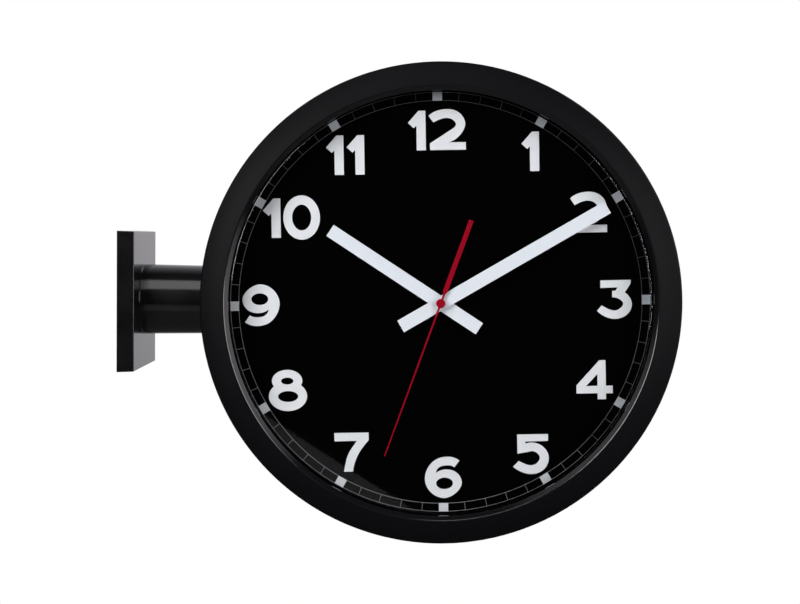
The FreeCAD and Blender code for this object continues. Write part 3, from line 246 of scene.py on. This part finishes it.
zinc, shader, start = new_finish("zinc_plate")
place = start.node("TexCoord").out("Object")
spangle = start.node("TexVoronoi", {"feature": "F1"}, place, Scale=260.0).out("Color")
cloud = start.node("TexNoise", None, place, Scale=70.0, Detail=5.0)
tone = start.node("SeparateXYZ", None, spangle).out("X")
start.feed(shader, {"Base_Color": (tone * 0.5 + cloud * 0.5).mix((0.5, 0.51, 0.53), (0.72, 0.73, 0.74))})
start.feed(shader, {"Roughness": 0.28 + cloud * 0.2, "Metallic": 1.0})
bumped(start, shader, cloud, 0.0001)
dress(zinc, "wall_bracket", "clamp_plate", "arm_screws")


# ---------------------------------------------------------------- wall plate and arm
# The plate is folded steel and the arm is drawn tube with a welded flange. A thin bead
# runs round the arm's root. All have a baked satin black powder coat.
def powder_coat(name, colour, gloss, grain=900.0, depth=0.00003):
    """Black powder coat: fine orange peel, and a hint of lighter handling marks."""
    material, shader, start = new_finish(name)
    place = start.node("TexCoord").out("Object")
    peel = start.node("TexNoise", None, place, Scale=grain, Detail=2.0)
    handled = start.node("TexNoise", None, place, Scale=34.0, Detail=6.0, Roughness=0.65)
    lighter = tuple(1.7 * part + 0.002 for part in colour)
    start.feed(shader, {"Base_Color": handled.slope(0.35, 0.8).mix(colour, lighter)})
    start.feed(shader, {"Roughness": gloss + handled * 0.06, "Specular_IOR_Level": 0.5})
    bumped(start, shader, peel, depth)
    return material


satin_black = powder_coat("satin_black", (0.003, 0.003, 0.0035), 0.12)
dress(satin_black, "wall_plate", "arm_tube")

PLATE_FACE, TUBE_RADIUS, BEAD = 0.014, 0.0297, 0.0006
corners, faces, around, sides = [], [], 96, 8
for i in range(around):
    turn = 2 * math.pi * i / around
    here, ahead = i * sides, (i + 1) % around * sides
    for k in range(sides):
        out = BEAD * math.cos(2 * math.pi * k / sides)
        radius = TUBE_RADIUS + BEAD * math.sin(2 * math.pi * k / sides)
        corners.append((PLATE_FACE + out, radius * math.cos(turn), radius * math.sin(turn)))
        beside = (k + 1) % sides
        faces.append((here + k, here + beside, ahead + beside, ahead + k))
weld_bead = mesh_piece("weld_bead", corners, faces)
weld_bead.data.materials.append(satin_black)
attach(weld_bead, "wall_side")

# ---------------------------------------------------------------- plate screws
# Six M4 countersunk screws of blackened steel. Four hold the arm's flange in the plate,
# and the two others lock the plate on its bracket.
blackened, shader, start = new_finish("blackened_steel")
place = start.node("TexCoord").out("Object")
bloom = start.node("TexNoise", None, place, Scale=420.0, Detail=4.0)
start.feed(shader, {"Base_Color": bloom.mix((0.03, 0.03, 0.035), (0.08, 0.08, 0.09))})
start.feed(shader, {"Metallic": 1.0, "Roughness": 0.32 + bloom * 0.15})
dress(blackened, "plate_screws")

# ---------------------------------------------------------------- case band
# A rolled steel band with the same powder coat, a little rougher. It is screwed to the
# arm's end through the clamp plate inside it.
case_black = powder_coat("case_black", (0.006, 0.006, 0.007), 0.34)
dress(case_black, "case_band")

# ---------------------------------------------------------------- case clips
# Six bent strips of hardened spring steel, blued by the heat, spot welded on the band.
# Each clock is pushed in between them.
blued, shader, start = new_finish("blued_spring")
place = start.node("TexCoord").out("Object")
heat = start.node("TexNoise", None, place, Scale=90.0, Detail=3.0)
start.feed(shader, {"Base_Color": heat.mix((0.12, 0.13, 0.2), (0.3, 0.26, 0.24))})
start.feed(shader, {"Metallic": 1.0, "Roughness": 0.25 + heat * 0.1})
dress(blued, "unit_clips")

SIDES = ("front", "rear")


def dress_pair(material, *names):
    dress(material, *[f"{side}_{name}" for side in SIDES for name in names])


# ---------------------------------------------------------------- movement shell and cover
# Injection moulded black ABS with a fine spark eroded grain. The cover, with its battery
# bay, snaps into the shell.
def moulded(name, colour, gloss, grain=1500.0, depth=0.00004):
    material, shader, start = new_finish(name)
    place = start.node("TexCoord").out("Object")
    erosion = start.node("TexNoise", None, place, Scale=grain, Detail=3.0)
    flow = start.node("TexNoise", None, place, Scale=18.0, Detail=2.0)
    lighter = tuple(1.35 * part + 0.001 for part in colour)
    start.feed(shader, {"Base_Color": flow.mix(colour, lighter)})
    start.feed(shader, {"Roughness": gloss + erosion * 0.08, "Specular_IOR_Level": 0.12})
    bumped(start, shader, erosion, depth)
    return material


dress_pair(moulded("movement_black", (0.012, 0.012, 0.013), 0.42), "movement_shell", "movement_cover")

# ---------------------------------------------------------------- circuit board
# Green lacquered fibre board with copper tracks under the lacquer, a black drop of resin
# over the chip and a quartz can. It is heat staked in the cover.
lacquer, shader, start = new_finish("board_lacquer")
place = start.node("TexCoord").out("Object")
lines = start.node("TexWave", {"bands_direction": "DIAGONAL"}, place, 160.0, Distortion=2.5)
start.feed(shader, {"Base_Color": (lines > 0.62).mix((0.01, 0.09, 0.03), (0.03, 0.2, 0.06))})
start.feed(shader, {"Roughness": 0.25 + (lines > 0.62) * 0.1})
bumped(start, shader, lines > 0.62, 0.00003)
dress_pair(lacquer, "circuit_board")

# ---------------------------------------------------------------- stator and coil
# Stamped soft iron with a coil of varnished copper wire on its long limb. It is pressed
# on two pegs of the shell.
core, shader, start = new_finish("stator_and_coil")
place = start.node("TexCoord").out("Object")
height = start.node("SeparateXYZ", None, place)
COIL_HIGH = 0.0068
coil_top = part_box("front_motor_stator")[1].z
wound = (height.out("Z") > coil_top - COIL_HIGH) * (height.out("Z") < coil_top)
turns = start.node("TexWave", {"bands_direction": "X"}, place, 900.0)
copper = turns.mix((0.35, 0.1, 0.04), (0.75, 0.3, 0.14))
iron = start.node("TexNoise", None, place, Scale=300.0).mix((0.4, 0.38, 0.36), (0.55, 0.53, 0.5))
start.feed(shader, {"Base_Color": wound.mix(iron, copper), "Metallic": 1.0})
start.feed(shader, {"Roughness": 0.35 - wound * 0.1})
bumped(start, shader, turns * wound, 0.0001)
dress_pair(core, "motor_stator")

# ---------------------------------------------------------------- rotor, wheels and knob
# Moulded acetal wheels on their arbors, natural white and a little waxy. The rotor's
# magnet is a dark sintered ring, and the knob for setting the hands is red.
acetal, shader, start = new_finish("acetal")
place = start.node("TexCoord").out("Object")
wax = start.node("TexNoise", None, place, Scale=240.0, Detail=2.0)
start.feed(shader, {"Base_Color": wax.mix((0.72, 0.71, 0.66), (0.82, 0.81, 0.77))})
start.feed(shader, {"Roughness": 0.34 + wax * 0.1, "Subsurface_Weight": 0.1, "Subsurface_Scale": 0.0006})
WHEELS = ("step_wheel", "second_wheel", "third_wheel", "minute_wheel", "setting_wheel", "hour_wheel")
dress_pair(acetal, *WHEELS)

MAGNET_BACK, MAGNET_FRONT = 0.01075, 0.01355
for side in SIDES:
    magnet, shader, start = new_finish(f"{side}_rotor_magnet")
    place = start.node("TexCoord").out("Object")
    depth = start.node("SeparateXYZ", None, place).out("Y")
    depth = depth if side == "rear" else depth * -1.0
    sintered = (depth > MAGNET_BACK) * (depth < MAGNET_FRONT)
    speck = start.node("TexNoise", None, place, Scale=2500.0)
    ferrite = speck.mix((0.03, 0.03, 0.035), (0.09, 0.09, 0.1))
    start.feed(shader, {"Base_Color": sintered.mix((0.76, 0.75, 0.7), ferrite)})
    start.feed(shader, {"Roughness": 0.4 + speck * 0.1})
    dress(magnet, f"{side}_rotor")

knob_red, shader, start = new_finish("knob_red")
place = start.node("TexCoord").out("Object")
flow = start.node("TexNoise", None, place, Scale=500.0, Detail=2.0)
start.feed(shader, {"Base_Color": flow.mix((0.5, 0.03, 0.02), (0.6, 0.05, 0.03))})
start.feed(shader, {"Roughness": 0.35 + flow * 0.1})
dress_pair(knob_red, "set_knob")

# ---------------------------------------------------------------- battery and contacts
# A plain AA cell in a printed foil sleeve: dark with a copper coloured shoulder at its
# positive end. It is held between two plated spring contacts.
for side in SIDES:
    low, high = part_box(f"{side}_battery")
    sleeve, shader, start = new_finish(f"{side}_battery_sleeve")
    place = start.node("TexCoord").out("Object")
    along = start.node("SeparateXYZ", None, place).out("X")
    along = along.slope(low.x, high.x) if side == "front" else 1 - along.slope(low.x, high.x)
    band = start.node("ValToRGB", {"stops": [
        (0.0, (0.75, 0.75, 0.74)), (0.012, (0.02, 0.022, 0.028)), (0.66, (0.02, 0.022, 0.028)),
        (0.665, (0.6, 0.27, 0.12)), (0.965, (0.6, 0.27, 0.12)), (0.97, (0.8, 0.8, 0.78)),
    ]}, along)
    band.socket.node.color_ramp.interpolation = "CONSTANT"
    scuff = start.node("TexNoise", None, place, Scale=160.0, Detail=6.0)
    start.feed(shader, {"Base_Color": band, "Metallic": 0.8})
    start.feed(shader, {"Roughness": 0.25 + scuff * 0.12})
    dress(sleeve, f"{side}_battery")

nickel, shader, start = new_finish("nickel_plate")
place = start.node("TexCoord").out("Object")
rolled = start.node("TexNoise", None, place, Scale=600.0, Detail=3.0)
start.feed(shader, {"Base_Color": rolled.mix((0.68, 0.66, 0.62), (0.8, 0.78, 0.74))})
start.feed(shader, {"Metallic": 1.0, "Roughness": 0.2 + rolled * 0.1})
dress_pair(nickel, "battery_contacts")


# ---------------------------------------------------------------- spacer ring
# A deep moulded ring in black ABS. The dial is glued to its back edge and the lens lies
# on its ledge.
ring_black = moulded("ring_black", (0.0035, 0.0035, 0.004), 0.5)
dress_pair(ring_black, "spacer_ring")

# ---------------------------------------------------------------- dial
# A flat sheet of aluminium, sprayed deep matt black. It lies on the spacer's back edge.
dial_black, shader, start = new_finish("dial_black")
place = start.node("TexCoord").out("Object")
spray = start.node("TexNoise", None, place, Scale=1800.0, Detail=2.0)
start.feed(shader, {"Base_Color": spray.mix((0.0001, 0.0001, 0.0001), (0.0003, 0.0003, 0.0003))})
start.feed(shader, {"Roughness": 0.75 + spray * 0.1, "Specular_IOR_Level": 0.01})
bumped(start, shader, spray, 0.00001)
dress_pair(dial_black, "dial")

# ---------------------------------------------------------------- numerals and minute track
# Screen printed on the dial: the numerals in dense white ink, the minute track and its
# hour blocks in a thinner, slightly cool silver white that lets some of the black through.
# The track and its blocks also carry painted light: they are made lighter towards the lower left.
ink, shader, start = new_finish("white_ink")
place = start.node("TexCoord").out("Object")
mesh_marks = start.node("TexNoise", None, place, Scale=700.0, Detail=3.0)
start.feed(shader, {"Base_Color": mesh_marks.mix((0.73, 0.75, 0.78), (0.76, 0.78, 0.81))})
start.feed(shader, {"Roughness": 0.6, "Specular_IOR_Level": 0.2})
dress_pair(ink, "numerals")

DIAL_TURN, HALF_BLOCK = 1.5, 1.38
for side, turned in (("front", DIAL_TURN), ("rear", -DIAL_TURN)):
    thin_ink_and_painted_light, shader, start = new_finish(f"{side}_thin_ink_and_painted_light")
    place = start.node("TexCoord").out("Object")
    across = start.node("SeparateXYZ", None, place)
    angle = across.sum("ARCTAN2", across.out("X") - AXIS_X, across.out("Z"))
    angle = angle * math.degrees(1) + (360 + turned)
    block = angle.sum("PINGPONG", angle, 15.0) < HALF_BLOCK
    cover = start.node("TexNoise", None, place, Scale=22.0, Detail=3.0).slope(0.3, 0.7)
    # Painted light: the track and its blocks get lighter towards the lower left (low X and low Z), on both
    # dials.
    painted_light_lower_left = (across.out("Z") + across.out("X") * 0.6).slope(0.31, -0.01)
    line = (cover * 0.2 + painted_light_lower_left * 0.8).mix((0.03, 0.032, 0.038), (0.3, 0.31, 0.34))
    solid = (cover * 0.35 + painted_light_lower_left * 0.65).mix((0.34, 0.37, 0.42), (0.72, 0.735, 0.76))
    start.feed(shader, {"Base_Color": block.mix(line, solid)})
    start.feed(shader, {"Roughness": 0.5, "Specular_IOR_Level": 0.3})
    dress(thin_ink_and_painted_light, f"{side}_minute_track")

# ---------------------------------------------------------------- bush washer and nut
# A rubber washer behind the dial and a turned brass nut in front of it clamp the
# movement's threaded bush in the dial.
rubber, shader, start = new_finish("black_rubber")
place = start.node("TexCoord").out("Object")
talc = start.node("TexNoise", None, place, Scale=500.0, Detail=5.0)
start.feed(shader, {"Base_Color": talc.mix((0.008, 0.008, 0.008), (0.02, 0.02, 0.02))})
start.feed(shader, {"Roughness": 0.75 + talc * 0.15, "Specular_IOR_Level": 0.2})
dress_pair(rubber, "bush_washer", "lens_seal")

brass, shader, start = new_finish("turned_brass")
place = start.node("TexCoord").out("Object")
tool_marks = start.node("TexNoise", None, place, Scale=900.0, Detail=2.0)
start.feed(shader, {"Base_Color": tool_marks.mix((0.6, 0.42, 0.16), (0.75, 0.55, 0.24))})
start.feed(shader, {"Metallic": 1.0, "Roughness": 0.25 + tool_marks * 0.1})
dress_pair(brass, "bush_nut")


# ---------------------------------------------------------------- hour and minute hands
# Bars stamped from aluminium sheet and sprayed a cool white. Each is pressed on its pipe
# by a collar.
def lacquered(name, dark, light, gloss, shine=0.3):
    material, shader, start = new_finish(name)
    place = start.node("TexCoord").out("Object")
    spray = start.node("TexNoise", None, place, Scale=1100.0, Detail=3.0)
    drift = start.node("TexNoise", None, place, Scale=22.0, Detail=2.0)
    start.feed(shader, {"Base_Color": (spray * 0.3 + drift * 0.7).mix(dark, light)})
    start.feed(shader, {"Roughness": gloss + spray * 0.1, "Specular_IOR_Level": shine})
    bumped(start, shader, spray, 0.00001)
    return material


hand_white = lacquered("hand_white", (0.72, 0.76, 0.82), (0.77, 0.81, 0.87), 0.45)
dress_pair(hand_white, "hour_hand", "minute_hand")

# ---------------------------------------------------------------- second hand
# Stamped like the others, but in bright red, with a counterweight and a turned cap that
# is pressed on the second arbor.
hand_red = lacquered("hand_red", (0.27, 0.0, 0.011), (0.33, 0.001, 0.014), 0.45, 0.06)
dress_pair(hand_red, "second_hand")

# ---------------------------------------------------------------- lens
# A domed disc of clear acrylic, vacuum formed and polished, with a small rolled shoulder.
# It lies between the spacer's ledge and the seal in the bezel.
LENS_EDGE, DOME_EDGE, DOME_RISE, LENS_THICK, LENS_FRONT = 0.183, 0.1752, 0.008, 0.0025, 0.0453
SHOULDER, SHOULDER_WIDE, SHOULDER_RISE, SHOULDER_LEAN = 0.0048, 0.0016, 0.0004, math.radians(25)
EDGE_ROUND = 0.0003
bend = (DOME_EDGE**2 + DOME_RISE**2) / (2 * DOME_RISE)


def dome_at(radius):
    """Height of the outside of the dome, from the middle of the case."""
    return LENS_FRONT + SHOULDER_RISE + math.sqrt(bend**2 - radius**2) - (bend - DOME_RISE)


inner_edge = DOME_EDGE - SHOULDER_WIDE
rings = [inner_edge * i / 28 for i in range(1, 28)] + [inner_edge - 0.0004, inner_edge - 0.0001, inner_edge]
outside = [(radius, dome_at(radius)) for radius in rings]
lean = math.asin(inner_edge / bend)
for i in range(1, 9):
    steep = lean + (SHOULDER_LEAN - lean) * i / 8
    outside.append((
        inner_edge + SHOULDER * (math.sin(steep) - math.sin(lean)),
        dome_at(inner_edge) - SHOULDER * (math.cos(lean) - math.cos(steep)),
    ))
outside += [
    (DOME_EDGE + 0.0001, LENS_FRONT),
    (DOME_EDGE + 0.0003, LENS_FRONT),
    (LENS_EDGE - EDGE_ROUND, LENS_FRONT),
    (LENS_EDGE, LENS_FRONT - EDGE_ROUND),
]
inside = [(radius, height - LENS_THICK) for radius, height in reversed(outside[:len(rings)])]
inside = [
    (LENS_EDGE, LENS_FRONT - LENS_THICK + EDGE_ROUND),
    (LENS_EDGE - EDGE_ROUND, LENS_FRONT - LENS_THICK),
    (inner_edge + 0.0009, LENS_FRONT - LENS_THICK),
    (inner_edge + 0.0006, LENS_FRONT - LENS_THICK),
] + inside
profile, around = outside + inside, 240
for side in SIDES:
    facing = -1 if side == "front" else 1
    corners = [(0, facing * dome_at(0), 0), (0, facing * (dome_at(0) - LENS_THICK), 0)]
    for radius, height in profile:
        for i in range(around):
            turn = 2 * math.pi * i / around
            corners.append((radius * math.cos(turn), facing * height, radius * math.sin(turn)))
    corners = [(x + AXIS_X, y, z) for x, y, z in corners]
    faces, last = [], 2 + (len(profile) - 1) * around
    for i in range(around):
        j = (i + 1) % around
        faces.append((0, 2 + j, 2 + i)[::facing])
        faces.append((1, last + i, last + j)[::facing])
        for k in range(2, last, around):
            faces.append((k + i, k + j, k + around + j, k + around + i)[::facing])
    lens = mesh_piece(f"{side}_acrylic_lens", corners, faces)
    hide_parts(f"{side}_lens")
    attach(lens, f"{side}_unit")

clear, shader, start = new_finish("clear_acrylic")
edge_on = start.node("LayerWeight", None, 0.5).out("Facing")
gloss = 0.03 + edge_on.sum("POWER", edge_on, 5.0) * 0.9
start.feed(shader, {"Base_Color": (0.9, 0.9, 0.92), "Metallic": 1.0, "Roughness": 0.03})
see_through = start.node("BsdfTransparent", None, (0.995, 0.995, 0.995))
sheen = start.node("MixShader", None, gloss, see_through, Signal(start.tree, shader.outputs[0]))
start.feed(start.tree.nodes["Material Output"], {"Surface": sheen})
for side in SIDES:
    bpy.data.objects[f"{side}_acrylic_lens"].data.materials.append(clear)

# ---------------------------------------------------------------- bezel
# The ring over each dial: one moulding in black ABS, satin, with a polished inner lip. Eight hooks
# behind it snap under the spacer's flange.
bezel_black, shader, start = new_finish("bezel_black")
place = start.node("TexCoord").out("Object")
erosion = start.node("TexNoise", None, place, Scale=1500.0, Detail=3.0)
flow = start.node("TexNoise", None, place, Scale=18.0, Detail=2.0)
LIP_EDGE = 0.1794
from_axis = start.node(
    "VectorMath", {"operation": "MULTIPLY_ADD"}, place, (1.0, 0.0, 1.0), (-AXIS_X, 0.0, 0.0)
)
lip = start.node("VectorMath", {"operation": "LENGTH"}, from_axis).out("Value") < LIP_EDGE
start.feed(shader, {"Base_Color": flow.mix((0.0028, 0.0024, 0.003), (0.0042, 0.0037, 0.0046))})
start.feed(shader, {"Roughness": 0.45 + erosion * 0.08 - lip * 0.25, "Specular_IOR_Level": 0.06})
start.feed(shader, {"Coat_Weight": lip * 0.9, "Coat_Roughness": 0.1})
bumped(start, shader, erosion * (1 - lip), 0.00004)
dress_pair(bezel_black, "bezel")
